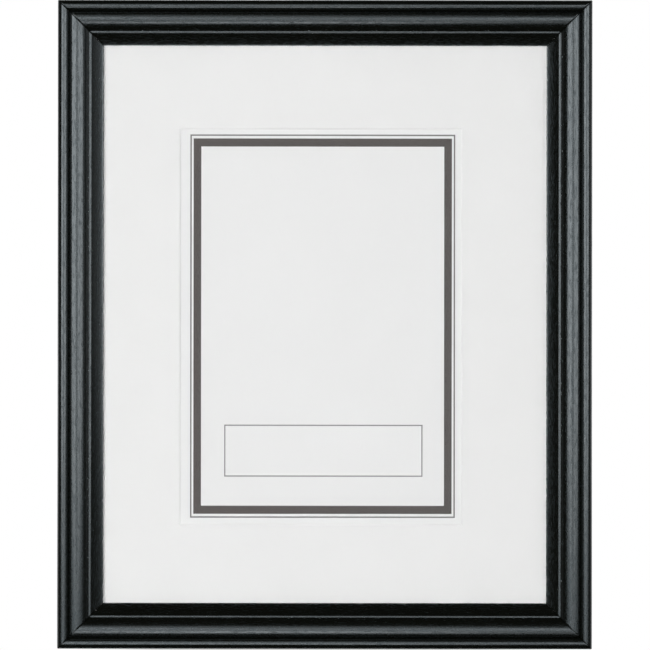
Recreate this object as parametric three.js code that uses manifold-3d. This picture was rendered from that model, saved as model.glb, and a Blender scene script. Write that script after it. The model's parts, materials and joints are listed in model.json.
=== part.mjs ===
// A wooden picture frame that stands on a desk or hangs on a wall. Four mitred moulding rails hold a glass
// pane, a window mat, a print, a filler card and a backing board, which turn buttons keep in the rebate.
// A folding easel leg on the backing board props the frame up, and saw-tooth hangers take a wall nail.
// Millimetres, +Z up. The face looks towards -Y and leans back as it does on a desk, with the leg open.
import * as THREE from "three";
import { mergeVertices } from "three/addons/utils/BufferGeometryUtils.js";
import Module from "manifold-3d";

const wasm = await Module();
wasm.setup();

// Pane and print
const PANE_WIDTH = 203.2;
const PANE_HEIGHT = 254;
const PANE_CLEARANCE = 0.8; // between each edge of the pane and the rebate's wall
const SIGHT_COVER = 3.2; // how far the rails' lip covers each edge of the pane
const PRINT_WIDTH = 127;
const PRINT_HEIGHT = 177.8;
const PRINT_LAP = 1.3; // how far the mat covers each edge of the print
const WINDOW_LEFT = 1.75; // how far the print and the mat's window sit left of the pane's middle, and below it
const WINDOW_BELOW = 1.05;

// Stack in the rebate, front to back
const GLASS_THICKNESS = 2;
const MAT_THICKNESS = 0.8;
const PRINT_THICKNESS = 0.25;
const FILLER_THICKNESS = 2.1;
const BOARD_THICKNESS = 2.5;
const BOARD_RECESS = 0.15; // the board's back below the rails' back
const FIT_GAP = 0.1; // air between pieces that lie on each other

// Moulding, as the widths of its bands from the outer side to the sight edge
const BEAD_WIDTH = 5.2;
const RISER_WIDTH = 0.9;
const CUSHION_OUTSIDE = 2.3; // from the cushion's outer arris to its crown
const CUSHION_INSIDE = 4.9; // from its crown to where it runs out into the fall
const FALL_WIDTH = 0.7;
const FILLET_WIDTH = 0.8;
const COVE_WIDTH = 5.4;

// Moulding, as the heights of its steps from the rebate to the front
const LIP_THICKNESS = 1.6;
const COVE_RISE = 2.9;
const FALL_DEG = 45; // the slope of the fall, and of the cushion where it meets it
const QUIRK_DROP = 3.5; // from the cushion's outer arris down to the quirk beside the bead
const COVE_SAG = 0.2; // how far the cove dips below a straight slope
const LIP_ROUND = 0.5;
const MITRE_GAP = 0.16;

// Corner nails, driven into each mitre from the back
const VNAIL_LEG = 4.5;
const VNAIL_THICKNESS = 0.6;
const VNAIL_DEPTH = 9;
const VNAIL_SINK = 0.2; // the nail's edge below the back of the rails
const VNAIL_GAP = 0.15;

// Turn buttons and their screws
const BUTTON_LENGTH = 24;
const BUTTON_WIDTH = 10;
const BUTTON_THICKNESS = 1;
const BUTTON_TIP = 4.5; // length of the raised finger tip
const BUTTON_LIFT = 1.6;
const BUTTON_MARGIN = 0.4; // between a button turned along its rail and the rebate
const BUTTON_SPACING = 140;
const SCREW_RADIUS = 1.5;
const SCREW_LENGTH = 11;
const SCREW_HEAD_RADIUS = 3.2;
const SCREW_HEAD_HEIGHT = 2;
const SCREW_SLOT_WIDTH = 0.8;
const SCREW_SLOT_LENGTH = 3.6;
const SCREW_SLOT_DEPTH = 1;
const HOLE_GAP = 0.15; // round a screw, nail, rivet or pin in its hole

// Saw-tooth hangers and their nails
const HANGER_LENGTH = 46;
const HANGER_HEIGHT = 8;
const HANGER_THICKNESS = 0.8;
const HANGER_TAB = 7;
const HANGER_RAMP = 2.5;
const HANGER_LIFT = 2;
const HANGER_CORNER = 2.4;
const TOOTH_PITCH = 2.5;
const TOOTH_DEPTH = 1.6;
const NAIL_RADIUS = 0.75;
const NAIL_LENGTH = 9;
const NAIL_HEAD_RADIUS = 1.9;
const NAIL_HEAD_HEIGHT = 0.6;

// Easel leg and its hinge
const LEAN_DEG = 14; // of the frame's face, from upright
const OPEN_DEG = 26; // between the leg and the backing board, at the hinge's stop
const HINGE_HEIGHT = 165; // above the frame's bottom edge
const STRUT_THICKNESS = 2.5;
const STRUT_TOP_WIDTH = 36;
const STRUT_FOOT_WIDTH = 66;
const STRUT_CORNER = 6;
const STRUT_GAP = 0.6; // between the folded leg and the backing board
const LEAF_THICKNESS = 0.8;
const LEAF_WIDTH = 18;
const LEAF_LENGTH = 27;
const LEAF_CORNER = 4;
const PIN_RADIUS = 1;
const PIN_HEAD_RADIUS = 1.7;
const PIN_HEAD_LENGTH = 0.8;
const BRACKET_THICKNESS = 0.8;
const BRACKET_MARGIN = 2; // of plate round the rivets and the ears
const BRACKET_CORNER = 2.5;
const EAR_THICKNESS = 1;
const EAR_WALL = 1.3; // of metal round the pin's hole
const EAR_GAP = 0.3; // between the leaf's knuckle and each ear
const STOP_GAP = 0.3; // between the leaf's stop and the bracket, when the leg is open
const RIVET_RADIUS = 1.5;
const RIVET_HEAD_RADIUS = 3;
const RIVET_HEAD_HEIGHT = 1;
const RIVET_FLANGE_RADIUS = 2.3;
const RIVET_FLANGE_HEIGHT = 0.6;
const RIVET_EDGE = 6; // from the leaf's end to its nearer rivet
const RIVET_SPACING = 10;

// Wall bumpers
const BUMPER_RADIUS = 5;
const BUMPER_HEIGHT = 2.6;
const BUMPER_INSET = 26;

// Facets
const PROFILE_STEPS = 12;
const ROUND_SIDES = 20;
const DOME_STEPS = 4;
const CUT_PAST = 1; // how far a cutter runs past the face that it opens

// Sizes that follow from the driving ones
const crownFrom = BEAD_WIDTH + RISER_WIDTH + CUSHION_OUTSIDE; // the cushion's crown, from the rail's outer side
const filletFrom = crownFrom + CUSHION_INSIDE + FALL_WIDTH;
const railWidth = filletFrom + FILLET_WIDTH + COVE_WIDTH;
const backWidth = railWidth - SIGHT_COVER - PANE_CLEARANCE;
const outerWidth = PANE_WIDTH + 2 * (PANE_CLEARANCE + backWidth);
const outerHeight = PANE_HEIGHT + 2 * (PANE_CLEARANCE + backWidth);
const boardBack = -BOARD_RECESS;
const boardFront = boardBack - BOARD_THICKNESS;
const fillerBack = boardFront - FIT_GAP;
const printBack = fillerBack - FILLER_THICKNESS - FIT_GAP;
const matBack = printBack - PRINT_THICKNESS - FIT_GAP;
const glassBack = matBack - MAT_THICKNESS - FIT_GAP;
const rebateDepth = GLASS_THICKNESS + FIT_GAP - glassBack;
const lean = THREE.MathUtils.degToRad(LEAN_DEG);
const open = THREE.MathUtils.degToRad(OPEN_DEG);
const rivetSink = RIVET_FLANGE_HEIGHT + 2 * FIT_GAP;
const knuckleRadius = PIN_RADIUS + HOLE_GAP + LEAF_THICKNESS;
const earRadius = PIN_RADIUS + HOLE_GAP + EAR_WALL;
const axisHeight = STRUT_GAP + STRUT_THICKNESS + FIT_GAP + LEAF_THICKNESS / 2; // of the pin above the board

// Finishes
const finish = (color, roughness, metalness, opacity = 1) =>
  new THREE.MeshStandardMaterial({ color, roughness, metalness, opacity, transparent: opacity < 1 });
const blackLacquer = finish(0x101112, 0.36, 0);
const clearGlass = finish(0xf4f8f7, 0.03, 0, 0.15);
const whiteMat = finish(0xeeeeec, 0.9, 0);
const whitePaper = finish(0xf0f0ee, 0.7, 0);
const greyCard = finish(0x9b948a, 0.95, 0);
const blackBoard = finish(0x1b1b1c, 0.8, 0);
const zincSteel = finish(0xb9bcbe, 0.35, 1);
const brassPlate = finish(0xb79a5b, 0.35, 1);
const darkSteel = finish(0x6f7173, 0.5, 1);
const blackRubber = finish(0x2a2a2b, 0.6, 0);

// Solids: manifold-3d joins and cuts closed three.js geometries
function toSolid(geometry) {
  const bare = geometry.clone();
  bare.deleteAttribute("normal");
  bare.deleteAttribute("uv");
  const merged = mergeVertices(bare);
  const vertProperties = merged.attributes.position.array;
  const triVerts = new Uint32Array(merged.index.array);
  return new wasm.Manifold(new wasm.Mesh({ numProp: 3, vertProperties, triVerts }));
}

function toGeometry(solid) {
  const { vertProperties, triVerts } = solid.getMesh();
  const geometry = new THREE.BufferGeometry();
  geometry.setAttribute("position", new THREE.BufferAttribute(vertProperties, 3));
  geometry.setIndex(new THREE.BufferAttribute(triVerts, 1));
  geometry.computeVertexNormals();
  return geometry;
}

const cut = (geometry, cutters) =>
  toGeometry(cutters.reduce((left, cutter) => left.subtract(toSolid(cutter)), toSolid(geometry)));
const join = (geometries) =>
  toGeometry(geometries.map(toSolid).reduce((whole, piece) => whole.add(piece)));
const common = (a, b) => toGeometry(toSolid(a).intersect(toSolid(b)));

// Shapes and the ways they are pushed out
function rectangle(width, height) {
  const shape = new THREE.Shape();
  shape.moveTo(-width / 2, -height / 2);
  shape.lineTo(width / 2, -height / 2);
  shape.lineTo(width / 2, height / 2);
  shape.lineTo(-width / 2, height / 2);
  shape.closePath();
  return shape;
}

function roundedRectangle(width, height, radius) {
  const x = width / 2 - radius;
  const y = height / 2 - radius;
  const quarter = Math.PI / 2;
  const shape = new THREE.Shape();
  [[x, y], [-x, y], [-x, -y], [x, -y]].forEach(([cornerX, cornerY], turn) => {
    shape.absarc(cornerX, cornerY, radius, turn * quarter, (turn + 1) * quarter, false);
  });
  shape.closePath();
  return shape;
}

function polygon(points) {
  return new THREE.Shape(points.map(([x, y]) => new THREE.Vector2(x, y)));
}

function extrude(shape, depth) {
  return new THREE.ExtrudeGeometry(shape, { depth, bevelEnabled: false, curveSegments: PROFILE_STEPS });
}

// A shape drawn in x and z, from its back at y = back towards the front
function plate(shape, back, thickness) {
  return extrude(shape, thickness).rotateX(Math.PI / 2).translate(0, back, 0);
}

// A shape drawn in y and z, pushed out to both sides of x = 0
function across(shape, width) {
  const axes = [new THREE.Vector3(0, 1, 0), new THREE.Vector3(0, 0, 1), new THREE.Vector3(1, 0, 0)];
  const turn = new THREE.Matrix4().makeBasis(...axes);
  return extrude(shape, width).applyMatrix4(turn).translate(-width / 2, 0, 0);
}

// A round bar along y
function bar(radius, from, to) {
  return new THREE.CylinderGeometry(radius, radius, to - from, ROUND_SIDES).translate(0, (from + to) / 2, 0);
}

// A turned piece along y, from [radius, y] pairs that start and end on the axis, front first
function turned(points) {
  return new THREE.LatheGeometry(points.map(([radius, y]) => new THREE.Vector2(radius, y)), ROUND_SIDES);
}

// The points of a domed end, from its rim to the axis
function dome(radius, from, height) {
  const points = [];
  for (let step = 1; step <= DOME_STEPS; step++) {
    const angle = (step / DOME_STEPS) * (Math.PI / 2);
    const fromAxis = step === DOME_STEPS ? 0 : radius * Math.cos(angle);
    points.push([fromAxis, from + height * Math.sin(angle)]);
  }
  return points;
}

function piece(name, geometry, material) {
  const mesh = new THREE.Mesh(geometry, material);
  mesh.name = name;
  return mesh;
}

// The frame stands upright in this group: z = 0 at its bottom edge, y = 0 at the back of its rails
const upright = new THREE.Group();
const centre = new THREE.Group();
centre.position.z = outerHeight / 2;
upright.add(centre);

// A hollow runs on from the last point and dips into the wood below a straight slope
function hollow(shape, toX, toY, sag) {
  const { x, y } = shape.currentPoint;
  const dip = (2 * sag) / Math.hypot(toX - x, toY - y);
  const dipX = (x + toX) / 2 + dip * (y - toY);
  const dipY = (y + toY) / 2 + dip * (toX - x);
  shape.quadraticCurveTo(dipX, dipY, toX, toY);
}

// Moulding profile: x is the distance from the outer side, y the height above the back
function mouldingProfile() {
  const fall = THREE.MathUtils.degToRad(FALL_DEG);
  const cushionRadius = CUSHION_INSIDE / Math.sin(fall);
  const outward = Math.asin(CUSHION_OUTSIDE / cushionRadius);
  const sightHeight = rebateDepth + LIP_THICKNESS;
  const filletHeight = sightHeight + COVE_RISE;
  const cushionCentre = filletHeight + FALL_WIDTH * Math.tan(fall) - cushionRadius * Math.cos(fall);
  const quirkHeight = cushionCentre + cushionRadius * Math.cos(outward) - QUIRK_DROP;
  const lipX = railWidth - LIP_ROUND;
  const lipY = sightHeight - LIP_ROUND;
  const quarter = Math.PI / 2;

  const shape = new THREE.Shape();
  shape.moveTo(0, 0);
  shape.lineTo(backWidth, 0);
  shape.lineTo(backWidth, rebateDepth);
  shape.lineTo(railWidth, rebateDepth);
  shape.absarc(lipX, lipY, LIP_ROUND, 0, quarter, false);
  hollow(shape, filletFrom + FILLET_WIDTH, filletHeight, COVE_SAG);
  shape.lineTo(filletFrom, filletHeight);
  shape.absarc(crownFrom, cushionCentre, cushionRadius, quarter - fall, quarter + outward, false);
  shape.absarc(BEAD_WIDTH / 2, quirkHeight, BEAD_WIDTH / 2, 0, Math.PI, false);
  shape.closePath();
  return shape;
}

// A rail along x with both ends mitred, its outer side down at z = 0 and its back at y = 0
function mitredRail(length) {
  const geometry = extrude(mouldingProfile(), 1);
  const place = geometry.attributes.position;
  for (let i = 0; i < place.count; i++) {
    const end = (length - MITRE_GAP) / 2 - place.getX(i);
    place.setZ(i, place.getZ(i) > 0.5 ? end : -end);
  }
  const axes = [new THREE.Vector3(0, 0, 1), new THREE.Vector3(0, -1, 0), new THREE.Vector3(1, 0, 0)];
  return geometry.applyMatrix4(new THREE.Matrix4().makeBasis(...axes));
}

// A corner nail's V, or its pocket with a gap round it: the point on the mitre, the legs towards the outside
function vnail(sideX, sideZ, inset, back, gap) {
  const half = VNAIL_THICKNESS / 2 + gap;
  const leg = VNAIL_LEG + gap;
  const outline = [[-half, -half], [leg, -half], [leg, half], [half, half], [half, leg], [-half, leg]];
  const shape = polygon(outline.map(([x, z]) => [sideX * x, sideZ * z]));
  const front = -VNAIL_SINK - VNAIL_DEPTH - gap;
  return plate(shape, back, back - front).translate(-sideX * inset, 0, -sideZ * inset);
}

const vnailInsets = { outer: backWidth / 3, inner: (2 * backWidth) / 3 };

// Hardware on the back of a rail, in that rail's own place
const buttonScrewInset = backWidth - BUTTON_WIDTH / 2 - BUTTON_MARGIN;
const buttonBack = FIT_GAP + BUTTON_THICKNESS;
const tabMiddle = HANGER_LENGTH / 2 - HANGER_TAB / 2;
const hangerInset = backWidth / 2;

function turnButton() {
  const radius = BUTTON_WIDTH / 2;
  const far = BUTTON_LENGTH - BUTTON_WIDTH;
  const outline = new THREE.Shape();
  outline.absarc(0, 0, radius, Math.PI, 2 * Math.PI, false);
  outline.absarc(0, far, radius, 0, Math.PI, false);
  outline.closePath();
  const bend = far + radius - BUTTON_TIP;
  const end = far + radius + CUT_PAST;
  const rise = (BUTTON_LIFT * (end - bend)) / BUTTON_TIP;
  const sheet = polygon([
    [0, -radius - CUT_PAST], [0, bend], [rise, end],
    [rise + BUTTON_THICKNESS, end], [BUTTON_THICKNESS, bend], [BUTTON_THICKNESS, -radius - CUT_PAST],
  ]);
  const bent = across(sheet, BUTTON_WIDTH + CUT_PAST).translate(0, FIT_GAP, 0);
  const stamped = plate(outline, buttonBack + rise + CUT_PAST, buttonBack + rise + 2 * CUT_PAST);
  return cut(common(stamped, bent), [bar(SCREW_RADIUS + HOLE_GAP, -CUT_PAST, buttonBack + CUT_PAST)]);
}

function buttonScrew() {
  const seat = buttonBack + FIT_GAP;
  const rim = SCREW_HEAD_HEIGHT / 4;
  const tip = 2 * SCREW_RADIUS;
  const body = turned([
    [0, seat - SCREW_LENGTH], [SCREW_RADIUS, seat - SCREW_LENGTH + tip], [SCREW_RADIUS, seat],
    [SCREW_HEAD_RADIUS, seat], [SCREW_HEAD_RADIUS, seat + rim],
    ...dome(SCREW_HEAD_RADIUS, seat + rim, SCREW_HEAD_HEIGHT - rim),
  ]);
  const top = seat + SCREW_HEAD_HEIGHT;
  const slot = (x, z) => new THREE.BoxGeometry(x, 2 * SCREW_SLOT_DEPTH, z).translate(0, top, 0);
  const slots = [slot(SCREW_SLOT_LENGTH, SCREW_SLOT_WIDTH), slot(SCREW_SLOT_WIDTH, SCREW_SLOT_LENGTH)];
  return cut(body, slots);
}

function screwHole() {
  const depth = SCREW_LENGTH - buttonBack - FIT_GAP;
  const radius = SCREW_RADIUS + HOLE_GAP;
  const tip = 2 * SCREW_RADIUS - HOLE_GAP;
  return turned([[0, -depth - HOLE_GAP], [radius, -depth + tip], [radius, CUT_PAST], [0, CUT_PAST]]);
}

// A bridged strip whose inward edge is a row of teeth for the wall nail
function sawtoothHanger() {
  const half = HANGER_LENGTH / 2;
  const low = half - HANGER_TAB;
  const high = low - HANGER_RAMP;
  const corner = HANGER_THICKNESS * Math.tan(Math.atan2(HANGER_LIFT, HANGER_RAMP) / 2);
  const inside = [[half, 0], [low, 0], [high, HANGER_LIFT]];
  const outside = [[high + corner, HANGER_LIFT], [low + corner, 0], [half, 0]];
  const rightHalf = [...outside.map(([x, y]) => [x, y + HANGER_THICKNESS]), ...inside];
  const leftHalf = rightHalf.toReversed().map(([x, y]) => [-x, y]);
  const bridge = extrude(polygon([...rightHalf, ...leftHalf]), HANGER_HEIGHT);
  bridge.translate(0, FIT_GAP, -HANGER_HEIGHT / 2);

  const count = Math.floor((2 * high) / TOOTH_PITCH);
  const edge = HANGER_HEIGHT / 2;
  const from = (-count * TOOTH_PITCH) / 2;
  const zigzag = [];
  for (let tooth = 0; tooth < count; tooth++) {
    zigzag.push([from + tooth * TOOTH_PITCH, edge], [from + (tooth + 0.5) * TOOTH_PITCH, edge - TOOTH_DEPTH]);
  }
  const comb = polygon([...zigzag, [-from, edge], [-from, edge + CUT_PAST], [from, edge + CUT_PAST]]);
  const back = FIT_GAP + HANGER_LIFT + HANGER_THICKNESS + CUT_PAST;
  const blank = plate(roundedRectangle(HANGER_LENGTH, HANGER_HEIGHT, HANGER_CORNER), back, back + CUT_PAST);
  const hole = (x) => bar(NAIL_RADIUS + HOLE_GAP, -CUT_PAST, back).translate(x, 0, 0);
  return cut(common(bridge, blank), [plate(comb, back, back + CUT_PAST), ...[-tabMiddle, tabMiddle].map(hole)]);
}

function hangerNail() {
  const seat = 2 * FIT_GAP + HANGER_THICKNESS;
  const tip = 3 * NAIL_RADIUS;
  return turned([
    [0, seat - NAIL_LENGTH], [NAIL_RADIUS, seat - NAIL_LENGTH + tip], [NAIL_RADIUS, seat],
    [NAIL_HEAD_RADIUS, seat], [NAIL_HEAD_RADIUS, seat + NAIL_HEAD_HEIGHT], [0, seat + NAIL_HEAD_HEIGHT],
  ]);
}

function nailHole() {
  return bar(NAIL_RADIUS + HOLE_GAP, HANGER_THICKNESS + FIT_GAP - NAIL_LENGTH, CUT_PAST);
}

function wallBumper() {
  const rim = BUMPER_HEIGHT / 2;
  return turned([
    [0, FIT_GAP], [BUMPER_RADIUS, FIT_GAP], [BUMPER_RADIUS, FIT_GAP + rim],
    ...dome(BUMPER_RADIUS, FIT_GAP + rim, BUMPER_HEIGHT - rim),
  ]);
}

// Rails, each with its hardware, in a group turned to its side of the frame
const sides = [
  { side: "bottom", length: outerWidth, reach: outerHeight / 2, buttons: [], hanger: null },
  { side: "left", length: outerHeight, reach: outerWidth / 2, buttons: ["upper", "lower"], hanger: "side" },
  { side: "top", length: outerWidth, reach: outerHeight / 2, buttons: [], hanger: "top" },
  { side: "right", length: outerHeight, reach: outerWidth / 2, buttons: ["lower", "upper"], hanger: null },
];

sides.forEach(({ side, length, reach, buttons, hanger }, quarterTurns) => {
  const group = new THREE.Group();
  group.rotation.y = (quarterTurns * Math.PI) / 2;
  const seat = new THREE.Group();
  seat.position.z = -reach;
  group.add(seat);
  centre.add(group);

  const pockets = [];
  for (const end of [-1, 1]) {
    for (const inset of Object.values(vnailInsets)) {
      pockets.push(vnail(end, -1, inset, CUT_PAST, VNAIL_GAP).translate((end * length) / 2, 0, 0));
    }
  }

  buttons.forEach((level, index) => {
    const x = (index - 0.5) * BUTTON_SPACING;
    const button = piece(`turn_button_${side}_${level}`, turnButton(), zincSteel);
    const screw = piece(`button_screw_${side}_${level}`, buttonScrew(), zincSteel);
    for (const mesh of [button, screw]) mesh.position.set(x, 0, buttonScrewInset);
    seat.add(button, screw);
    pockets.push(screwHole().translate(x, 0, buttonScrewInset));
  });

  if (hanger) {
    const plateMesh = piece(`hanger_${hanger}`, sawtoothHanger(), brassPlate);
    plateMesh.position.z = hangerInset;
    seat.add(plateMesh);
    [-tabMiddle, tabMiddle].forEach((x, index) => {
      const nail = piece(`hanger_nail_${hanger}_${index + 1}`, hangerNail(), brassPlate);
      nail.position.set(x, 0, hangerInset);
      seat.add(nail);
      pockets.push(nailHole().translate(x, 0, hangerInset));
    });
  }

  if (side === "bottom") {
    for (const end of ["left", "right"]) {
      const bumper = piece(`wall_bumper_${end}`, wallBumper(), blackRubber);
      bumper.position.set((end === "left" ? -1 : 1) * (length / 2 - BUMPER_INSET), 0, backWidth / 2);
      seat.add(bumper);
    }
  }

  seat.add(piece(`rail_${side}`, cut(mitredRail(length), pockets), blackLacquer));
});

// Corner nails, two in each mitre
for (const [end, sideX] of [["left", -1], ["right", 1]]) {
  for (const [level, sideZ] of [["bottom", -1], ["top", 1]]) {
    for (const [place, inset] of Object.entries(vnailInsets)) {
      const geometry = vnail(sideX, sideZ, inset, -VNAIL_SINK, 0);
      const nail = piece(`corner_nail_${level}_${end}_${place}`, geometry, darkSteel);
      nail.position.set((sideX * outerWidth) / 2, 0, (sideZ * outerHeight) / 2);
      centre.add(nail);
    }
  }
}

// Glazed stack: the mat's window is cut with a bevel that opens towards the glass
function matBoard() {
  const windowWidth = PRINT_WIDTH - 2 * PRINT_LAP;
  const windowHeight = PRINT_HEIGHT - 2 * PRINT_LAP;
  const bevel = plate(rectangle(1, 1), CUT_PAST, MAT_THICKNESS + 2 * CUT_PAST);
  const place = bevel.attributes.position;
  for (let i = 0; i < place.count; i++) {
    const widen = 2 * -place.getY(i);
    place.setX(i, place.getX(i) * (windowWidth + widen));
    place.setZ(i, place.getZ(i) * (windowHeight + widen));
  }
  bevel.translate(-WINDOW_LEFT, 0, -WINDOW_BELOW);
  return cut(plate(paneSheet, 0, MAT_THICKNESS), [bevel]).translate(0, matBack, 0);
}

const paneSheet = rectangle(PANE_WIDTH, PANE_HEIGHT);
const print = plate(rectangle(PRINT_WIDTH, PRINT_HEIGHT), printBack, PRINT_THICKNESS);
print.translate(-WINDOW_LEFT, 0, -WINDOW_BELOW);
centre.add(
  piece("glass_pane", plate(paneSheet, glassBack, GLASS_THICKNESS), clearGlass),
  piece("mat_board", matBoard(), whiteMat),
  piece("display_print", print, whitePaper),
  piece("filler_card", plate(paneSheet, fillerBack, FILLER_THICKNESS), greyCard),
);

// Rivets clamp a stack of two sheets: y = 0 at the back of the stack, the flange sunk in its front
function rivet(grip) {
  const flangeFront = FIT_GAP - grip;
  const flangeBack = flangeFront + RIVET_FLANGE_HEIGHT;
  const rim = RIVET_HEAD_HEIGHT / 4;
  return turned([
    [0, flangeFront], [RIVET_FLANGE_RADIUS, flangeFront], [RIVET_FLANGE_RADIUS, flangeBack],
    [RIVET_RADIUS, flangeBack], [RIVET_RADIUS, FIT_GAP],
    [RIVET_HEAD_RADIUS, FIT_GAP], [RIVET_HEAD_RADIUS, FIT_GAP + rim],
    ...dome(RIVET_HEAD_RADIUS, FIT_GAP + rim, RIVET_HEAD_HEIGHT - rim),
  ]);
}

// The hole for one rivet in a sheet whose front is at y = front, with the sink for its flange
function rivetHole(front, back) {
  const radius = RIVET_RADIUS + HOLE_GAP;
  const sink = RIVET_FLANGE_RADIUS + HOLE_GAP;
  return [bar(radius, front - CUT_PAST, back + CUT_PAST), bar(sink, front - CUT_PAST, front + rivetSink)];
}

// Easel hinge: everything here is placed from the pin, in the folded position
const hinge = new THREE.Group();
hinge.position.set(0, boardBack + axisHeight, HINGE_HEIGHT);
upright.add(hinge);
const leg = new THREE.Group();
leg.rotation.x = open;
hinge.add(leg);

const boardY = -axisHeight; // the backing board's back, seen from the pin
const bracketFront = boardY + FIT_GAP;
const bracketBack = bracketFront + BRACKET_THICKNESS;
const stopRoom = -bracketBack - STOP_GAP; // from the pin to where the stop rests
const stopLength = (stopRoom - (LEAF_THICKNESS / 2) * Math.cos(open)) / Math.sin(open);
const earInside = LEAF_WIDTH / 2 + EAR_GAP;
const bracketRivetZ = stopLength + RIVET_HEAD_RADIUS + BRACKET_MARGIN;
const bracketRivetX = earInside + EAR_THICKNESS - RIVET_HEAD_RADIUS;
const leafRivetZ = [RIVET_EDGE - LEAF_LENGTH + RIVET_SPACING, RIVET_EDGE - LEAF_LENGTH];
const strutBack = -LEAF_THICKNESS / 2 - FIT_GAP;
const strutFront = strutBack - STRUT_THICKNESS;

function easelBracket() {
  const top = bracketRivetZ + RIVET_HEAD_RADIUS + BRACKET_MARGIN;
  const width = 2 * (earInside + EAR_THICKNESS + BRACKET_MARGIN);
  const base = roundedRectangle(width, top + earRadius, BRACKET_CORNER);
  const sheet = plate(base, bracketBack, BRACKET_THICKNESS).translate(0, 0, (top - earRadius) / 2);
  const side = new THREE.Shape();
  side.moveTo((bracketFront + bracketBack) / 2, -earRadius);
  side.absarc(0, 0, earRadius, -Math.PI / 2, Math.PI / 2, false);
  side.lineTo((bracketFront + bracketBack) / 2, earRadius);
  side.closePath();
  const pinHole = new THREE.Path().absarc(0, 0, PIN_RADIUS + HOLE_GAP, 0, 2 * Math.PI, true);
  side.holes.push(pinHole);
  const ears = [-1, 1].map((end) =>
    across(side, EAR_THICKNESS).translate(end * (earInside + EAR_THICKNESS / 2), 0, 0),
  );
  const holes = [-1, 1].map((end) =>
    bar(RIVET_RADIUS + HOLE_GAP, bracketFront - CUT_PAST, bracketBack + CUT_PAST)
      .translate(end * bracketRivetX, 0, bracketRivetZ),
  );
  return cut(join([sheet, ...ears]), holes);
}

// The leaf's sheet is rolled round the pin and runs on as a short stop
function easelLeaf() {
  const half = LEAF_THICKNESS / 2;
  const meet = Math.acos(half / knuckleRadius);
  const section = new THREE.Shape();
  section.moveTo(half, -LEAF_LENGTH);
  section.absarc(0, 0, knuckleRadius, -meet, meet, false);
  section.lineTo(half, stopLength);
  section.lineTo(-half, stopLength);
  section.absarc(0, 0, knuckleRadius, Math.PI - meet, Math.PI + meet, false);
  section.lineTo(-half, -LEAF_LENGTH);
  section.closePath();
  section.holes.push(new THREE.Path().absarc(0, 0, PIN_RADIUS + HOLE_GAP, 0, 2 * Math.PI, true));
  const blankLength = LEAF_LENGTH + stopLength + LEAF_CORNER; // its upper corners lie past the stop
  const blank = roundedRectangle(LEAF_WIDTH, blankLength, LEAF_CORNER);
  const stamped = plate(blank, knuckleRadius + CUT_PAST, 2 * (knuckleRadius + CUT_PAST));
  stamped.translate(0, 0, blankLength / 2 - LEAF_LENGTH);
  const hole = (z) => bar(RIVET_RADIUS + HOLE_GAP, -half - CUT_PAST, half + CUT_PAST).translate(0, 0, z);
  return cut(common(across(section, LEAF_WIDTH), stamped), leafRivetZ.map(hole));
}

// The leg tapers from its foot to the hinge, and its foot is cut level with the desk when it stands open
function easelStrut() {
  const pinAboveDesk = HINGE_HEIGHT * Math.cos(lean) - hinge.position.y * Math.sin(lean);
  const slope = open - lean; // of the open leg, from upright
  const length = pinAboveDesk / Math.cos(slope);
  const top = -earRadius - BRACKET_MARGIN;
  const past = length + STRUT_THICKNESS;
  const widen = (STRUT_FOOT_WIDTH - STRUT_TOP_WIDTH) / 2 / (length + top);
  const footHalf = STRUT_TOP_WIDTH / 2 + widen * (past + top);
  const topHalf = STRUT_TOP_WIDTH / 2;
  const outline = new THREE.Shape();
  outline.moveTo(-footHalf, -past);
  outline.lineTo(footHalf, -past);
  outline.lineTo(topHalf, top - STRUT_CORNER);
  outline.quadraticCurveTo(topHalf, top, topHalf - STRUT_CORNER, top);
  outline.lineTo(STRUT_CORNER - topHalf, top);
  outline.quadraticCurveTo(-topHalf, top, -topHalf, top - STRUT_CORNER);
  outline.closePath();
  const board = plate(outline, strutBack, STRUT_THICKNESS);
  const desk = new THREE.BoxGeometry(2 * STRUT_FOOT_WIDTH, length, length).translate(0, 0, -length / 2);
  desk.rotateX(-slope).translate(0, 0, -length);
  const hole = (z) => rivetHole(strutFront, strutBack).map((cutter) => cutter.translate(0, 0, z));
  return cut(board, [desk, ...leafRivetZ.flatMap(hole)]);
}

function hingePin() {
  const shank = earInside + EAR_THICKNESS + FIT_GAP;
  const end = shank + PIN_HEAD_LENGTH;
  const points = [
    [0, -end], [PIN_HEAD_RADIUS, -end], [PIN_HEAD_RADIUS, -shank], [PIN_RADIUS, -shank],
    [PIN_RADIUS, shank], [PIN_HEAD_RADIUS, shank], [PIN_HEAD_RADIUS, end], [0, end],
  ];
  return turned(points).rotateZ(Math.PI / 2);
}

hinge.add(
  piece("easel_bracket", easelBracket(), zincSteel),
  piece("easel_hinge_pin", hingePin(), zincSteel),
);
leg.add(piece("easel_leaf", easelLeaf(), zincSteel), piece("easel_strut", easelStrut(), blackBoard));

["left", "right"].forEach((end, index) => {
  const grip = bracketBack - boardY + BOARD_THICKNESS;
  const mesh = piece(`bracket_rivet_${end}`, rivet(grip), zincSteel);
  mesh.position.set((index ? 1 : -1) * bracketRivetX, bracketBack, bracketRivetZ);
  hinge.add(mesh);
});

["upper", "lower"].forEach((level, index) => {
  const mesh = piece(`leaf_rivet_${level}`, rivet(LEAF_THICKNESS / 2 - strutFront), zincSteel);
  mesh.position.set(0, LEAF_THICKNESS / 2, leafRivetZ[index]);
  leg.add(mesh);
});

// Backing board, bored for the bracket's rivets
const boardHoles = [-1, 1].flatMap((end) =>
  rivetHole(boardFront, boardBack).map((hole) =>
    hole.translate(end * bracketRivetX, 0, HINGE_HEIGHT + bracketRivetZ - outerHeight / 2),
  ),
);
centre.add(piece("backing_board", cut(plate(paneSheet, boardBack, BOARD_THICKNESS), boardHoles), blackBoard));

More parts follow.
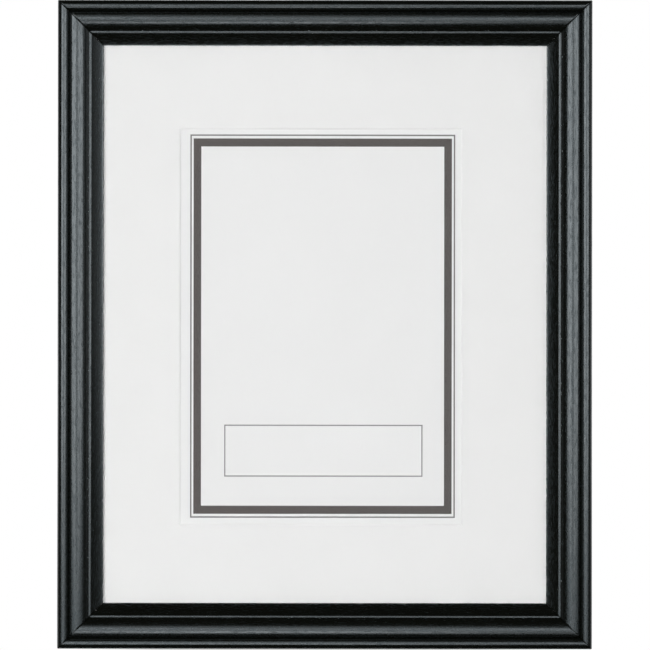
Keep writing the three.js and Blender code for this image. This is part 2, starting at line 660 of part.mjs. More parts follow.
// The whole frame leans back onto its leg, with the middle of its footprint at the origin
const pictureFrame = new THREE.Group();
upright.rotation.x = -lean;
pictureFrame.add(upright);
pictureFrame.updateMatrixWorld(true);
const box = new THREE.Box3().setFromObject(pictureFrame, true);
upright.position.set(-(box.min.x + box.max.x) / 2, -(box.min.y + box.max.y) / 2, -box.min.z);

export default pictureFrame;
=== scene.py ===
"""Looks of an upright picture frame: a black moulding round a matted print, a board back and an easel leg.

Lengths are written in millimetres, but for the lamps in metres. Points on the frame are in metres.
"""

import json
import math

import bmesh
import bpy
from mathutils import Matrix, Vector


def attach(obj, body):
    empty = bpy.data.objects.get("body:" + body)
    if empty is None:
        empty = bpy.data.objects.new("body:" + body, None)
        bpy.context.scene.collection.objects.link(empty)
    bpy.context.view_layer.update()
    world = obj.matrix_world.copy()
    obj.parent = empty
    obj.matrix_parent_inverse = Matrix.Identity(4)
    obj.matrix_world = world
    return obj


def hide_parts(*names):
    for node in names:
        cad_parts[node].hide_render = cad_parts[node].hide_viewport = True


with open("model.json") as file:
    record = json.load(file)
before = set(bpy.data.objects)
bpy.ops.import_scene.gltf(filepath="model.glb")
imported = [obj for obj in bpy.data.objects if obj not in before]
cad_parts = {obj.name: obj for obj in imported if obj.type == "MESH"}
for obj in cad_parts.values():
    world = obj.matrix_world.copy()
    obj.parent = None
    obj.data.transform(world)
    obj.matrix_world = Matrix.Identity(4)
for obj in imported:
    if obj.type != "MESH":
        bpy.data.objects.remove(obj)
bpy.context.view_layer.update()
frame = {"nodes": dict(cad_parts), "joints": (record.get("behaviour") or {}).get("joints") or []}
nodes = frame["nodes"]
MM = 0.001

# Moulding: the widths of its bands from the outer side to the sight edge, and heights above its back
BEAD_WIDTH = 5.2
RISER_WIDTH = 0.9
CUSHION_OUTSIDE = 2.3  # from the cushion's outer arris to its crown
CUSHION_INSIDE = 4.9  # from its crown to where it runs out into the fall
FALL_WIDTH = 0.7
FILLET_WIDTH = 0.8
COVE_WIDTH = 5.4
BACK_WIDTH = 16.2
REBATE_HEIGHT = 8.3
LIP_THICKNESS = 1.6
LIP_ROUND = 0.3
COVE_RISE = 2.9
COVE_SAG = 0.14  # how far the cove dips below a straight slope
FALL_SLOPE = math.radians(45)  # of the fall, and of the cushion where it meets it
BEAD_DROP = 0.9  # from the cushion's outer arris down to the bead's crown
QUIRK_TURN = math.radians(60)  # how far the bead's inner side turns down from its crown to the quirk

# Making of the rails
CURVE_STEPS = 24
OUTLINE_STEP = 0.2
SANDING_PASSES = 3
MITRE_GAP = 0.06  # by which a rail is shorter than its side of the frame
MITRE_ARRIS = 0.12  # how far the lacquer draws back from the edges of a mitre
MITRE_SLOPE = 0.24  # how far along the rail it is drawn back
MITRE_HOLD = 0.6  # where a ring of points keeps the shading of that slope off the rest of the rail
POCKET_GAP = 0.2  # round a nail or screw
POCKET_RUN = 1.0  # how near to the wood's back a pocket's points are drawn out past it, and how far
SHARP_ANGLE = math.radians(40)  # from which an edge of a rail stays crisp
FLAT_COSINE = 0.9999  # of the angle within which a face belongs to the flat back
PAINT_FROM = 0.45  # height above the back where the paint is whole
STAIN_BELOW = 0.1  # height where the wood is only stained

# Edges of the other pieces
WELD_DISTANCE = 0.001  # within which corners of CAD triangles are one point
FLAT_ANGLE = math.radians(0.5)  # within which CAD triangles are one flat face
EASED_ANGLE = math.radians(35)  # from which an edge is eased
EASED_STEPS = 2

# Print: a thin rule round a broad band, and an empty ruled box
BORDER_MIDDLE = (-1.0, -0.8)  # how far to the right of the face's middle and above it
RULE_HALF = (58.6, 84.95)  # half the width and height, to the middle of the rule
RULE_WIDTH = 0.6
BAND_HALF = (57.45, 83.5)  # the same to the band's outer edge
BAND_WIDTH = (3.4, 3.6)  # of its upright and of its level runs
BOX_MIDDLE = (-0.6, -56.2)
BOX_HALF = (43.85, 11.3)
BOX_RULE_WIDTH = 0.5
INK_EDGE = 0.1  # how far the ink fades to each side of an edge

# Stage: a pale table whose front edge is at the frame's foot, in a studio that is white behind the frame
FLOOR_SIZE = 6000.0
FLOOR_FRONT = -44.0
FLOOR_SQUARES = 4
# Under and behind the frame the floor is painted darker: camera rays there see part of its own lit colour
# instead of white, a painted shade with the frame's shadow in it
PAINTED_SHADE_SHARE = 0.4  # how much of the floor's own light and shade shows under the frame
PAINTED_SHADE_ACROSS = (118.0, 60.0)  # where it has faded out and where it is full, to each side
PAINTED_SHADE_ALONG = (220.0, 30.0)  # the same before and behind its middle
PAINTED_SHADE_MIDDLE = 20.0
FLOOR_WHITE_FROM = (0.0, 400.0)  # how far back the mirrored floor turns white
SKY_WHITE_FROM = (0.45, 0.9)  # how much of a direction points back where the mirrored studio turns white
STUDIO_DIM = 0.015  # how bright the studio is in front of the frame
STUDIO_GLOW = 0.45  # how bright it is behind the frame

# Camera, and the photograph's frame in pixels
IMAGE_SIZE = 650
PIXELS_PER_MM = 2.254
FACE_MIDDLE_PIXEL = (324.85, 324.4)
CAMERA_DISTANCE = 2000.0
CAMERA_ROLL = math.radians(0.07)
SENSOR_WIDTH = 36.0

# Places, heights and radii of the moulding that follow from its sizes
crown_from = BEAD_WIDTH + RISER_WIDTH + CUSHION_OUTSIDE
fillet_from = crown_from + CUSHION_INSIDE + FALL_WIDTH
rail_width = fillet_from + FILLET_WIDTH + COVE_WIDTH
cushion_radius = CUSHION_INSIDE / math.sin(FALL_SLOPE)
cushion_outward = math.asin(CUSHION_OUTSIDE / cushion_radius)
sight_height = REBATE_HEIGHT + LIP_THICKNESS
fillet_height = sight_height + COVE_RISE
cushion_middle = fillet_height + FALL_WIDTH * math.tan(FALL_SLOPE) - cushion_radius * math.cos(FALL_SLOPE)
bead_crown = cushion_middle + cushion_radius * math.cos(cushion_outward) - BEAD_DROP
side_height = bead_crown - BEAD_WIDTH / 2
quirk_radius = BEAD_WIDTH / 2 / math.sin(QUIRK_TURN)

# The frame's own directions: the face leans back, and a turn button's axis points straight out of its back
RIGHT = Vector((1, 0, 0))
button_turn = next(joint for joint in frame["joints"] if joint["name"] == "turn_left_upper")
BACK = Vector(button_turn["axis"]).normalized()
UP = RIGHT.cross(BACK)
FRONT = -BACK
LEVEL_BACK = Vector((0, 1, 0))


def reach(node, direction):
    """The least and greatest distance of a CAD node's points along a direction, in metres."""
    along = [vertex.co.dot(direction) for vertex in nodes[node].data.vertices]
    return min(along), max(along)


bottom_edge = reach("rail_bottom", UP)[0]
frame_height = reach("rail_top", UP)[1] - bottom_edge
frame_width = reach("rail_right", RIGHT)[1] - reach("rail_left", RIGHT)[0]
face_middle = BACK * reach("rail_bottom", BACK)[1] + UP * (bottom_edge + frame_height / 2)
FACE = Matrix((RIGHT, UP, FRONT)).transposed().to_4x4()
FACE.translation = face_middle


# Shader nodes
class Value:
    """A shader node's output. Arithmetic on it adds Math nodes, and | takes the greater of two."""

    def __init__(self, shading, socket):
        self.shading = shading
        self.socket = socket

    def math(self, operation, *inputs):
        return self.shading.add("ShaderNodeMath", {"operation": operation}, dict(enumerate(inputs)))

    def __add__(self, other):
        return self.math("ADD", self, other)

    def __sub__(self, other):
        return self.math("SUBTRACT", self, other)

    def __rsub__(self, other):
        return self.math("SUBTRACT", other, self)

    def __mul__(self, other):
        return self.math("MULTIPLY", self, other)

    def __abs__(self):
        return self.math("ABSOLUTE", self)

    def __or__(self, other):
        return self.math("MAXIMUM", self, other)

    __radd__ = __add__
    __rmul__ = __mul__

    def fade(self, start, end):
        """0 where the number is at the start, 1 where it is at the end, with a soft run between them."""
        sockets = {"Value": self, "From Min": start, "From Max": end}
        return self.shading.add("ShaderNodeMapRange", {"interpolation_type": "SMOOTHSTEP"}, sockets)


class Shading:
    """The nodes of one material, or of the world."""

    def __init__(self, owner):
        owner.use_nodes = True
        self.tree = owner.node_tree
        self.tree.nodes.clear()

    def add(self, kind, settings, sockets, output=0):
        """Adds a node, sets it up, fills or links its sockets and gives one of its outputs, if any."""
        node = self.tree.nodes.new(kind)
        for name, setting in settings.items():
            setattr(node, name, setting)
        for name, value in sockets.items():
            if isinstance(value, Value):
                self.tree.links.new(value.socket, node.inputs[name])
            else:
                node.inputs[name].default_value = value
        return Value(self, node.outputs[output]) if node.outputs else None

    def vector(self, operation, first, second, output=0):
        return self.add("ShaderNodeVectorMath", {"operation": operation}, {0: first, 1: second}, output)

    def along(self, direction, start=(0, 0, 0)):
        """How far a point of the piece lies from a start along a direction, in millimetres."""
        place = self.add("ShaderNodeTexCoord", {}, {}, "Object")
        offset = self.vector("SUBTRACT", place, start)
        return self.vector("DOT_PRODUCT", offset, direction, "Value") * (1 / MM)

    def grain(self, length, width, run=RIGHT, detail=2.0, roughness=0.5):
        """Noise from 0 to 1 in streaks of this length along a direction and this width across it."""
        across = UP if run == RIGHT else RIGHT
        sizes = ((run, length), (across, width), (FRONT, width))
        spread = [self.along(direction) * (1 / size) for direction, size in sizes]
        place = self.add("ShaderNodeCombineXYZ", {}, dict(enumerate(spread)))
        sockets = {"Vector": place, "Scale": 1.0, "Detail": detail, "Roughness": roughness}
        return self.add("ShaderNodeTexNoise", {}, sockets)

    def blotches(self, size, detail=2.0, roughness=0.5):
        """Noise from 0 to 1 in round blotches of this size."""
        return self.grain(length=size, width=size, detail=detail, roughness=roughness)

    def tint(self, share, first, second):
        """The first colour where the share is 0 and the second where it is 1."""
        return self.add("ShaderNodeMix", {"data_type": "RGBA"}, {0: share, 6: first, 7: second}, 2)

    def bump(self, height, depth):
        """A normal from heights of 0 to 1, which stand for a depth in millimetres."""
        return self.add("ShaderNodeBump", {}, {"Height": height, "Distance": depth * MM})

    def shader(self, sockets):
        return self.add("ShaderNodeBsdfPrincipled", {}, sockets)

    def mixed(self, share, first, second):
        """The first shader where the share is 0 and the second where it is 1."""
        return self.add("ShaderNodeMixShader", {}, {0: share, 1: first, 2: second})

    def surface(self, shader):
        self.add("ShaderNodeOutputMaterial", {}, {"Surface": shader})


def colour(red, green, blue):
    return (red, green, blue, 1.0)


def new_finish(name):
    material = bpy.data.materials.new(name)
    return material, Shading(material)


# Finishes
def black_lacquer(name, run):
    """Black paint under satin lacquer, over straight grain along the rail. The back is only stained."""
    material, shading = new_finish(name)
    stained = shading.along(FRONT, face_middle).fade(PAINT_FROM, STAIN_BELOW)
    growth = shading.grain(length=45, width=0.8, run=run, detail=3.0)
    figure = shading.grain(length=6, width=0.9, run=run, detail=4.0, roughness=0.65).fade(0.3, 0.7)
    pore = shading.grain(length=3.2, width=0.5, run=run).fade(0.5, 0.66)
    paint = shading.tint(growth, colour(0.0012, 0.0013, 0.0006), colour(0.0026, 0.0029, 0.0014))
    ring = growth.fade(0.35, 0.68)
    stain = shading.tint(ring, colour(0.014, 0.011, 0.009), colour(0.055, 0.043, 0.033))
    shading.surface(shading.shader({
        "Base Color": shading.tint(stained, paint, stain),
        "Roughness": 0.19 + 0.04 * growth + 0.08 * pore + 0.06 * figure + 0.26 * stained,
        "IOR": 1.65,
        "Specular Tint": colour(0.83, 1.0, 1.09),
        "Coat Weight": (1 - stained) * (1 - 0.6 * pore) * (1 - 0.45 * figure),
        "Coat Roughness": 0.14,
        "Coat IOR": 1.5,
        "Normal": shading.bump(0.3 * growth + 0.3 * figure + 0.5 * (1 - pore), depth=0.018),
    }))
    return material


def clear_glass():
    """Picture glass that lets lamp light through to the print, with the faint haze of wiping."""
    material, shading = new_finish("clear_glass")
    haze = shading.blotches(30, detail=4.0)
    glass = shading.shader({
        "Base Color": colour(0.992, 0.993, 0.993),
        "Roughness": 0.012 * haze,
        "IOR": 1.52,
        "Transmission Weight": 1.0,
    })
    lamp_ray = shading.add("ShaderNodeLightPath", {}, {}, "Is Shadow Ray")
    clear = shading.add("ShaderNodeBsdfTransparent", {}, {"Color": colour(0.967, 0.967, 0.967)})
    shading.surface(shading.mixed(lamp_ray, glass, clear))
    return material


def white_mat():
    """Smooth board with a white core, faintly flecked with fibres."""
    material, shading = new_finish("white_mat")
    mottle = shading.blotches(14, detail=3.0)
    fibres = shading.blotches(0.5, detail=4.0, roughness=0.7)
    shading.surface(shading.shader({
        "Base Color": shading.tint(mottle, colour(0.845, 0.846, 0.842), colour(0.87, 0.871, 0.868)),
        "Roughness": 0.82 + 0.1 * fibres,
        "Specular IOR Level": 0.3,
        "Normal": shading.bump(fibres, depth=0.006),
    }))
    return material


def printed_paper():
    """White sheet with a thin rule round a broad dark band, and an empty ruled box near its foot."""
    material, shading = new_finish("print_paper")

    def outside(middle, half):
        """How far a point lies outside a rectangle on the sheet, less than 0 inside it."""
        across = shading.along(RIGHT, face_middle + RIGHT * middle[0] * MM)
        upward = shading.along(UP, face_middle + UP * middle[1] * MM)
        return (abs(across) - half[0]) | (abs(upward) - half[1])

    def rule(middle, half, width):
        """1 on a line of this width along a rectangle's sides, and 0 beside it."""
        return abs(outside(middle, half)).fade(width / 2 + INK_EDGE, width / 2 - INK_EDGE)

    band_inside = [half - width for half, width in zip(BAND_HALF, BAND_WIDTH)]
    band = outside(BORDER_MIDDLE, BAND_HALF).fade(INK_EDGE, -INK_EDGE)
    band = band * outside(BORDER_MIDDLE, band_inside).fade(-INK_EDGE, INK_EDGE)
    fibres = shading.blotches(0.7, detail=4.0, roughness=0.7)
    mottle = shading.blotches(20, detail=3.0)
    sheet = shading.tint(mottle, colour(0.84, 0.842, 0.84), colour(0.86, 0.862, 0.86))
    inked = shading.tint(band * (0.97 + 0.03 * fibres), sheet, colour(0.028, 0.017, 0.013))
    ruled = shading.tint(rule(BORDER_MIDDLE, RULE_HALF, RULE_WIDTH), inked, colour(0.12, 0.115, 0.11))
    boxed = shading.tint(rule(BOX_MIDDLE, BOX_HALF, BOX_RULE_WIDTH), ruled, colour(0.17, 0.17, 0.17))
    shading.surface(shading.shader({
        "Base Color": boxed,
        "Roughness": 0.72 + 0.15 * fibres - 0.1 * band,
        "Specular IOR Level": 0.2,
        "Normal": shading.bump(fibres, depth=0.012),
    }))
    return material


def grey_card():
    """Raw pulp card with light and dark flecks."""
    material, shading = new_finish("grey_card")
    pulp = shading.blotches(1.2, detail=5.0, roughness=0.7)
    fleck = shading.blotches(0.8).fade(0.66, 0.72)
    card = shading.tint(pulp, colour(0.2, 0.18, 0.155), colour(0.33, 0.3, 0.26))
    shading.surface(shading.shader({
        "Base Color": shading.tint(fleck, card, colour(0.09, 0.08, 0.07)),
        "Roughness": 0.88 + 0.1 * pulp,
        "Normal": shading.bump(pulp, depth=0.05),
    }))
    return material


def faced_hardboard(name, face):
    """Hardboard under scuffed black grained paper. Its cut edges show brown fibres."""
    material, shading = new_finish(name)
    normal = shading.add("ShaderNodeTexCoord", {}, {}, "Normal")
    edge = abs(shading.vector("DOT_PRODUCT", normal, face, "Value")).fade(0.75, 0.55)
    leather = shading.grain(length=1.8, width=1.4, detail=3.0).fade(0.35, 0.68)
    cloud = shading.blotches(45, detail=5.0, roughness=0.65).fade(0.35, 0.68)
    fibre = shading.grain(length=1.6, width=0.35, detail=4.0, roughness=0.7)
    scuff = shading.grain(length=70, width=9, detail=6.0, roughness=0.7).fade(0.57, 0.8)
    cloudy_grain = 0.6 * leather + 0.4 * cloud
    paper = shading.tint(cloudy_grain, colour(0.012, 0.012, 0.0125), colour(0.046, 0.046, 0.047))
    rubbed = shading.tint(scuff, paper, colour(0.085, 0.082, 0.08))
    raw = shading.tint(fibre, colour(0.1, 0.058, 0.03), colour(0.26, 0.165, 0.09))
    shading.surface(shading.shader({
        "Base Color": shading.tint(edge, rubbed, raw),
        "Roughness": 0.52 + 0.15 * leather + 0.12 * scuff + 0.15 * edge,
        "Normal": shading.bump(leather * (1 - edge) + fibre * edge, depth=0.09),
    }))
    return material


def zinc_steel():
    """Stamped steel with a bright zinc coat: cloudy, with fine handling scratches."""
    material, shading = new_finish("zinc_steel")
    cloud = shading.blotches(2.5, detail=3.0)
    scratch = shading.grain(length=9, width=0.22, detail=3.0).fade(0.6, 0.7)
    dull = shading.blotches(5, detail=4.0).fade(0.55, 0.75)
    bright = shading.tint(cloud, colour(0.5, 0.51, 0.525), colour(0.66, 0.67, 0.68))
    shading.surface(shading.shader({
        "Base Color": shading.tint(dull * 0.5, bright, colour(0.4, 0.4, 0.4)),
        "Metallic": 1.0,
        "Roughness": 0.24 + 0.16 * cloud + 0.14 * dull + 0.08 * scratch,
        "Normal": shading.bump(cloud * 0.5 - scratch * 0.5, depth=0.02),
    }))
    return material


def brass_plate():
    """Brass-plated strip, a little tarnished."""
    material, shading = new_finish("brass_plate")
    cloud = shading.blotches(3, detail=3.0)
    tarnish = shading.blotches(6, detail=4.0).fade(0.5, 0.72)
    scratch = shading.grain(length=8, width=0.25, detail=3.0).fade(0.6, 0.7)
    plate = shading.tint(cloud, colour(0.6, 0.43, 0.19), colour(0.72, 0.54, 0.27))
    shading.surface(shading.shader({
        "Base Color": shading.tint(tarnish * 0.55, plate, colour(0.3, 0.2, 0.1)),
        "Metallic": 1.0,
        "Roughness": 0.26 + 0.14 * cloud + 0.2 * tarnish + 0.06 * scratch,
        "Normal": shading.bump(cloud * 0.5 - scratch * 0.5, depth=0.02),
    }))
    return material


def dark_steel():
    """Oiled strip steel of the corner nails."""
    material, shading = new_finish("dark_steel")
    mottle = shading.blotches(1.2, detail=4.0)
    rust = shading.blotches(2, detail=4.0).fade(0.6, 0.75)
    steel = shading.tint(mottle, colour(0.2, 0.2, 0.205), colour(0.36, 0.36, 0.37))
    shading.surface(shading.shader({
        "Base Color": shading.tint(rust * 0.5, steel, colour(0.16, 0.075, 0.03)),
        "Metallic": 1.0 - 0.4 * rust,
        "Roughness": 0.38 + 0.15 * mottle + 0.2 * rust,
        "Normal": shading.bump(mottle, depth=0.015),
    }))
    return material


def black_rubber():
    """Soft moulded rubber with a fine matt skin and a little dust."""
    material, shading = new_finish("black_rubber")
    skin = shading.blotches(0.35, detail=3.0)
    dust = shading.blotches(2.5, detail=5.0, roughness=0.7).fade(0.5, 0.8)
    shading.surface(shading.shader({
        "Base Color": shading.tint(dust * 0.4, colour(0.016, 0.016, 0.016), colour(0.09, 0.088, 0.085)),
        "Roughness": 0.55 + 0.15 * skin + 0.15 * dust,
        "Normal": shading.bump(skin, depth=0.02),
    }))
    return material


# Moulding profile: x is the distance from the outer side, y the height above the back
def arc(middle, radius, start, end):
    points = []
    for step in range(CURVE_STEPS + 1):
        angle = start + (end - start) * step / CURVE_STEPS
        points.append(middle + radius * Vector((math.cos(angle), math.sin(angle))))
    return points


def hollow(start, end, sag):
    """A curve that dips into the wood below a straight slope."""
    slope = end - start
    dip = (start + end) / 2 + 2 * sag * Vector((-slope.y, slope.x)).normalized()
    points = []
    for step in range(CURVE_STEPS + 1):
        run = step / CURVE_STEPS
        points.append((1 - run) ** 2 * start + 2 * run * (1 - run) * dip + run ** 2 * end)
    return points


def moulding_outline():
    """The closed outline of a rail: back, rebate, face from the sight edge outwards, and outer side."""
    upward = math.pi / 2
    lip = arc(Vector((rail_width - LIP_ROUND, sight_height - LIP_ROUND)), LIP_ROUND, 0, upward)
    cove = hollow(lip[-1], Vector((fillet_from + FILLET_WIDTH, fillet_height)), COVE_SAG)
    cushion_ends = (upward - FALL_SLOPE, upward + cushion_outward)
    cushion = arc(Vector((crown_from, cushion_middle)), cushion_radius, *cushion_ends)
    quirk_middle = Vector((BEAD_WIDTH / 2, bead_crown - quirk_radius))
    bead_inside = arc(quirk_middle, quirk_radius, upward - QUIRK_TURN, upward)
    bead_outside = arc(Vector((BEAD_WIDTH / 2, side_height)), BEAD_WIDTH / 2, upward, math.pi)
    return [
        Vector((0, 0)),
        Vector((BACK_WIDTH, 0)),
        Vector((BACK_WIDTH, REBATE_HEIGHT)),
        Vector((rail_width, REBATE_HEIGHT)),
        *lip,
        *cove[1:],
        Vector((fillet_from, fillet_height)),
        *cushion,
        *bead_inside,
        *bead_outside[1:],
    ]


def even_steps(outline):
    """The closed outline again, as points about one step apart."""
    points = []
    for start, end in zip(outline, outline[1:] + outline[:1]):
        steps = max(1, round((end - start).length / OUTLINE_STEP))
        points += [start.lerp(end, step / steps) for step in range(steps)]
    return points


def with_neighbours(outline):
    """Each point of the closed outline between the one before it and the one after it."""
    return zip(outline[-1:] + outline[:-1], outline, outline[1:] + outline[:1])


def worn(before, point, after):
    """A point of the outline after one pass of sanding, which only takes wood away."""
    run = after - before
    shift = (before + after - 2 * point) / 4
    return point + shift if shift.dot(Vector((-run.y, run.x))) > 0 else point


def sanded(outline):
    """The closed outline with its arrises rounded over and its inner corners crisp."""
    for _ in range(SANDING_PASSES):
        outline = [worn(before, point, after) for before, point, after in with_neighbours(outline)]
    return outline


def inset(outline, depth):
    """The closed outline moved into the wood."""
    moved = []
    for before, point, after in with_neighbours(outline):
        run = (after - before).normalized()
        moved.append(point + depth * Vector((-run.y, run.x)))
    return moved


# Rails
def link(name, mesh, material):
    """A new object for a bmesh, with a finish."""
    data = bpy.data.meshes.new(name)
    mesh.to_mesh(data)
    mesh.free()
    data.materials.append(material)
    made = bpy.data.objects.new(name, data)
    bpy.context.scene.collection.objects.link(made)
    return made


def mitred_rail(name, length, outline, material):
    """A rail along x, its outer side at y = 0 and its back at z = 0, with a fine groove at each mitre."""
    drawn_back = inset(outline, MITRE_ARRIS)
    stations = [(0, drawn_back), (MITRE_SLOPE, outline), (MITRE_HOLD, outline)]
    mesh = bmesh.new()
    rings = []
    for end, order in ((-1, stations), (1, stations[::-1])):
        for from_mitre, points in order:
            half = (length - MITRE_GAP) / 2 - from_mitre
            rings.append([mesh.verts.new(Vector((end * (half - x), x, z)) * MM) for x, z in points])
    for ring, following in zip(rings, rings[1:]):
        for corner in range(len(outline)):
            mesh.faces.new((ring[corner - 1], ring[corner], following[corner], following[corner - 1]))
    mesh.faces.new(rings[0])
    mesh.faces.new(rings[-1][::-1])
    bmesh.ops.recalc_face_normals(mesh, faces=mesh.faces)
    return link(name, mesh, material)


def pocket_cutter(node):
    """What is taken out of the wood for a fastener: its shape, a little larger, drawn out past the back."""
    mesh = bmesh.new()
    mesh.from_mesh(nodes[node].data)
    bmesh.ops.remove_doubles(mesh, verts=mesh.verts, dist=WELD_DISTANCE * MM)
    mesh.normal_update()
    wood_back = face_middle.dot(BACK)
    grown = {vertex: vertex.co + vertex.normal * POCKET_GAP * MM for vertex in mesh.verts}
    for vertex, place in grown.items():
        if place.dot(BACK) > wood_back - POCKET_RUN * MM:
            place += BACK * POCKET_RUN * MM
        vertex.co = place
    return link("pocket", mesh, nodes[node].active_material)


def cut_pockets(rail, fasteners):
    for node in fasteners:
        cutter = pocket_cutter(node)
        cut = rail.modifiers.new("pocket", "BOOLEAN")
        cut.operation = "DIFFERENCE"
        cut.solver = "EXACT"
        cut.object = cutter
        whole = rail.evaluated_get(bpy.context.evaluated_depsgraph_get())
        pierced = bpy.data.meshes.new_from_object(whole)
        rail.modifiers.clear()
        rail.data = pierced
        bpy.data.objects.remove(cutter)


def smooth(mesh):
    """Rounds the shading of a rail but for its crisp edges, and keeps its back flat."""
    mesh.shade_smooth()
    mesh.set_sharp_from_angle(angle=SHARP_ANGLE)
    for face in mesh.polygons:
        face.use_smooth = face.normal.dot(BACK) < FLAT_COSINE


outline = sanded(even_steps(moulding_outline()))
level_lacquer = black_lacquer("black_lacquer", RIGHT)
upright_lacquer = black_lacquer("black_lacquer_upright", UP)
fasteners_on = {
    "bottom": [],
    "right": ["button_screw_right_upper", "button_screw_right_lower"],
    "top": ["hanger_nail_top_1", "hanger_nail_top_2"],
    "left": [
        "button_screw_left_upper", "button_screw_left_lower", "hanger_nail_side_1", "hanger_nail_side_2",
    ],
}
for quarter, (side, fasteners) in enumerate(fasteners_on.items()):
    if side in ("left", "right"):
        length, across, lacquer = frame_height, frame_width, upright_lacquer
    else:
        length, across, lacquer = frame_width, frame_height, level_lacquer
    rail = mitred_rail(f"lacquered_rail_{side}", length / MM, outline, lacquer)
    turn = Matrix.Rotation(math.radians(90 * quarter), 4, "Z")
    rail.data.transform(FACE @ turn @ Matrix.Translation((0, -across / 2, 0)))
    corner_nails = [node for node in nodes if node.startswith("corner_nail") and f"_{side}_" in node]
    cut_pockets(rail, corner_nails + fasteners)
    smooth(rail.data)
    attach(rail, "frame")
    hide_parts(f"rail_{side}")


# The other pieces keep their CAD shape, with edges eased as stamping, cutting and moulding leave them
def dress(node, material, easing):
    piece = nodes[node]
    data = piece.data
    data.materials.clear()
    data.materials.append(material)
    if "custom_normal" in data.attributes:
        data.attributes.remove(data.attributes["custom_normal"])
    data.shade_smooth()
    weld = piece.modifiers.new("weld", "WELD")
    weld.merge_threshold = WELD_DISTANCE * MM
    flats = piece.modifiers.new("flats", "DECIMATE")
    flats.decimate_type = "DISSOLVE"
    flats.angle_limit = FLAT_ANGLE
    eased = piece.modifiers.new("eased_edges", "BEVEL")
    eased.width = easing * MM
    eased.segments = EASED_STEPS
    eased.limit_method = "ANGLE"
    eased.angle_limit = EASED_ANGLE
    eased.harden_normals = True


def broadest_normal(node):
    return max(nodes[node].data.polygons, key=lambda face: face.area).normal.copy()


zinc = zinc_steel()
leg_board = faced_hardboard("black_board_leg", broadest_normal("easel_strut"))
# The finish of the pieces whose names start so, and how far their edges are eased
dressing = {
    "glass_pane": (clear_glass(), 0.15),
    "mat_board": (white_mat(), 0.05),
    "display_print": (printed_paper(), 0.03),
    "filler_card": (grey_card(), 0.1),
    "backing_board": (faced_hardboard("black_board", BACK), 0.2),
    "easel_strut": (leg_board, 0.3),
    "easel_bracket": (zinc, 0.15),
    "easel_leaf": (zinc, 0.15),
    "easel_hinge_pin": (zinc, 0.08),
    "bracket_rivet": (zinc, 0.08),
    "leaf_rivet": (zinc, 0.08),
    "turn_button": (zinc, 0.15),
    "button_screw": (zinc, 0.08),
    "hanger": (brass_plate(), 0.08),
    "corner_nail": (dark_steel(), 0.05),
    "wall_bumper": (black_rubber(), 0.3),
}
for start, (finish, easing) in dressing.items():
    for node in nodes:
        if node.startswith(start):
            dress(node, finish, easing)


# Stage
def shows_white(shading, behind):
    """1 for rays that show white: the camera's everywhere, and those by gloss or glass behind the frame."""
    kinds = ("Is Camera Ray", "Is Glossy Ray", "Is Transmission Ray")
    camera, glossy, through = [shading.add("ShaderNodeLightPath", {}, {}, kind) for kind in kinds]
    return camera | (glossy | through) * behind


def pale_floor():
    """A white table with painted shade under and behind the frame, in which the frame's shadow shows too.
    """
    material, shading = new_finish("pale_floor")
    aside = abs(shading.along(RIGHT))
    backward = shading.along(LEVEL_BACK)
    # under marks the patch of painted shade, where the floor turns from white towards its own darker lit
    # colour
    under = aside.fade(*PAINTED_SHADE_ACROSS) * abs(backward - PAINTED_SHADE_MIDDLE).fade(*PAINTED_SHADE_ALONG)
    mottle = shading.blotches(40, detail=4.0)
    pale = shading.shader({
        "Base Color": shading.tint(mottle, colour(0.7, 0.7, 0.7), colour(0.74, 0.74, 0.74)),
        "Roughness": 1.0,
        "Specular IOR Level": 0.0,
    })
    white = shading.add("ShaderNodeEmission", {}, {"Color": colour(1, 1, 1), "Strength": 1.0})
    share = shows_white(shading, backward.fade(*FLOOR_WHITE_FROM)) * (1 - PAINTED_SHADE_SHARE * under)
    shading.surface(shading.mixed(share, pale, white))
    return material


def studio_world():
    """A dim studio that glows behind the frame."""
    world = bpy.data.worlds.new("studio")
    bpy.context.scene.world = world
    shading = Shading(world)
    direction = shading.add("ShaderNodeTexCoord", {}, {}, "Generated")
    behind = shading.add("ShaderNodeSeparateXYZ", {}, {0: direction}, 1).fade(*SKY_WHITE_FROM)
    glow = STUDIO_DIM + (STUDIO_GLOW - STUDIO_DIM) * behind
    strength = glow | shows_white(shading, behind)
    shine = shading.add("ShaderNodeBackground", {}, {"Color": colour(1, 1, 1), "Strength": strength})
    shading.add("ShaderNodeOutputWorld", {}, {"Surface": shine})


floor_mesh = bmesh.new()
half_floor = FLOOR_SIZE * MM / 2
bmesh.ops.create_grid(floor_mesh, x_segments=FLOOR_SQUARES, y_segments=FLOOR_SQUARES, size=half_floor)
bmesh.ops.translate(floor_mesh, verts=floor_mesh.verts, vec=(0, FLOOR_FRONT * MM + half_floor, 0))
link("floor", floor_mesh, pale_floor())
studio_world()


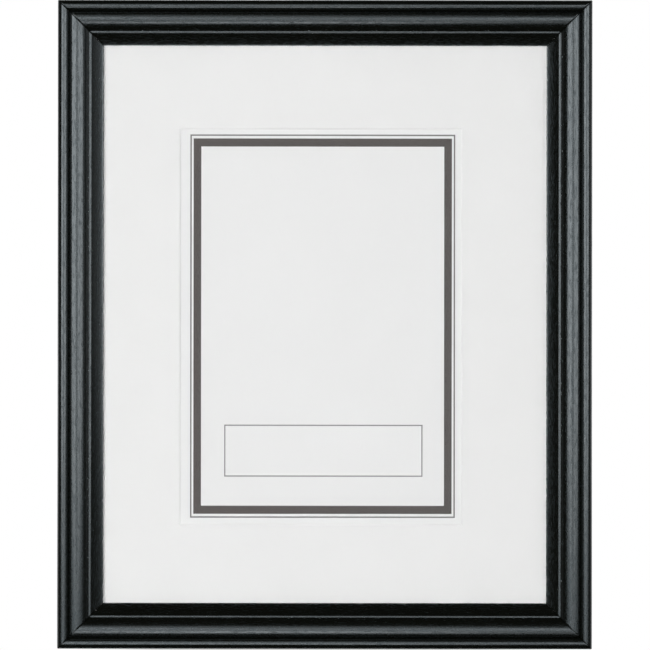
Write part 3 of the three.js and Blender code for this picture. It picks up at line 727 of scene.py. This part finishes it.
# Lamps: soft boxes all round the camera, one behind, and a polarised one at the camera that gives no glare
def softbox(name, across, above, distance, width, height, shine):
    """A soft box that the face's middle sees at these angles in degrees, its sizes in metres."""
    lamp = bpy.data.lights.new(name, "AREA")
    lamp.shape = "RECTANGLE"
    lamp.size = width
    lamp.size_y = height
    lamp.energy = math.pi * width * height * shine
    turn = math.radians(across)
    rise = math.radians(above)
    away = (FRONT * math.cos(turn) + RIGHT * math.sin(turn)) * math.cos(rise) + UP * math.sin(rise)
    made = bpy.data.objects.new(name, lamp)
    bpy.context.scene.collection.objects.link(made)
    made.location = face_middle + away * distance
    made.rotation_euler = away.to_track_quat("Z", "Y").to_euler()
    made.visible_camera = False
    return made


glints = [
    softbox("softbox_left", across=-24, above=4.9, distance=2.5, width=1.6, height=0.81, shine=3.0),
    softbox("softbox_right", across=25, above=4.9, distance=2.5, width=1.74, height=0.81, shine=2.6),
    softbox("softbox_far_right", across=53, above=6, distance=2.5, width=0.8, height=0.72, shine=0.27),
]
for glint in glints:
    glint.visible_diffuse = False
    glint.visible_transmission = False
softbox("softbox_side_left", across=-95, above=0, distance=2.0, width=1.4, height=1.4, shine=0.09)
softbox("softbox_side_right", across=92, above=9, distance=2.0, width=1.4, height=0.8, shine=0.3)
softbox("softbox_middle", across=0, above=-9, distance=2.5, width=0.53, height=1.72, shine=0.95)
softbox("softbox_above", across=-8, above=18, distance=2.5, width=1.0, height=0.7, shine=0.55)
softbox("softbox_low", across=-9, above=-23, distance=0.9, width=0.4, height=0.2, shine=1.8)
softbox("softbox_behind", across=205, above=30, distance=1.6, width=1.2, height=0.8, shine=2.0)
polarised = softbox(
    "polarised_lamp", across=-11, above=2, distance=1.3, width=0.45, height=0.45, shine=24.4,
)
polarised.visible_glossy = False
polarised.visible_transmission = False


# Camera: straight at the face from far off
camera_data = bpy.data.cameras.new("camera")
camera_data.sensor_width = SENSOR_WIDTH
camera_data.lens = SENSOR_WIDTH * CAMERA_DISTANCE * PIXELS_PER_MM / IMAGE_SIZE
camera = bpy.data.objects.new("camera", camera_data)
bpy.context.scene.collection.objects.link(camera)
off_x = (IMAGE_SIZE / 2 - FACE_MIDDLE_PIXEL[0]) / PIXELS_PER_MM
off_y = (FACE_MIDDLE_PIXEL[1] - IMAGE_SIZE / 2) / PIXELS_PER_MM
stand = Vector((off_x, off_y, side_height + CAMERA_DISTANCE)) * MM
camera.matrix_world = FACE @ Matrix.Translation(stand) @ Matrix.Rotation(CAMERA_ROLL, 4, "Z")
bpy.context.scene.camera = camera
bpy.context.scene.view_settings.view_transform = "Standard"
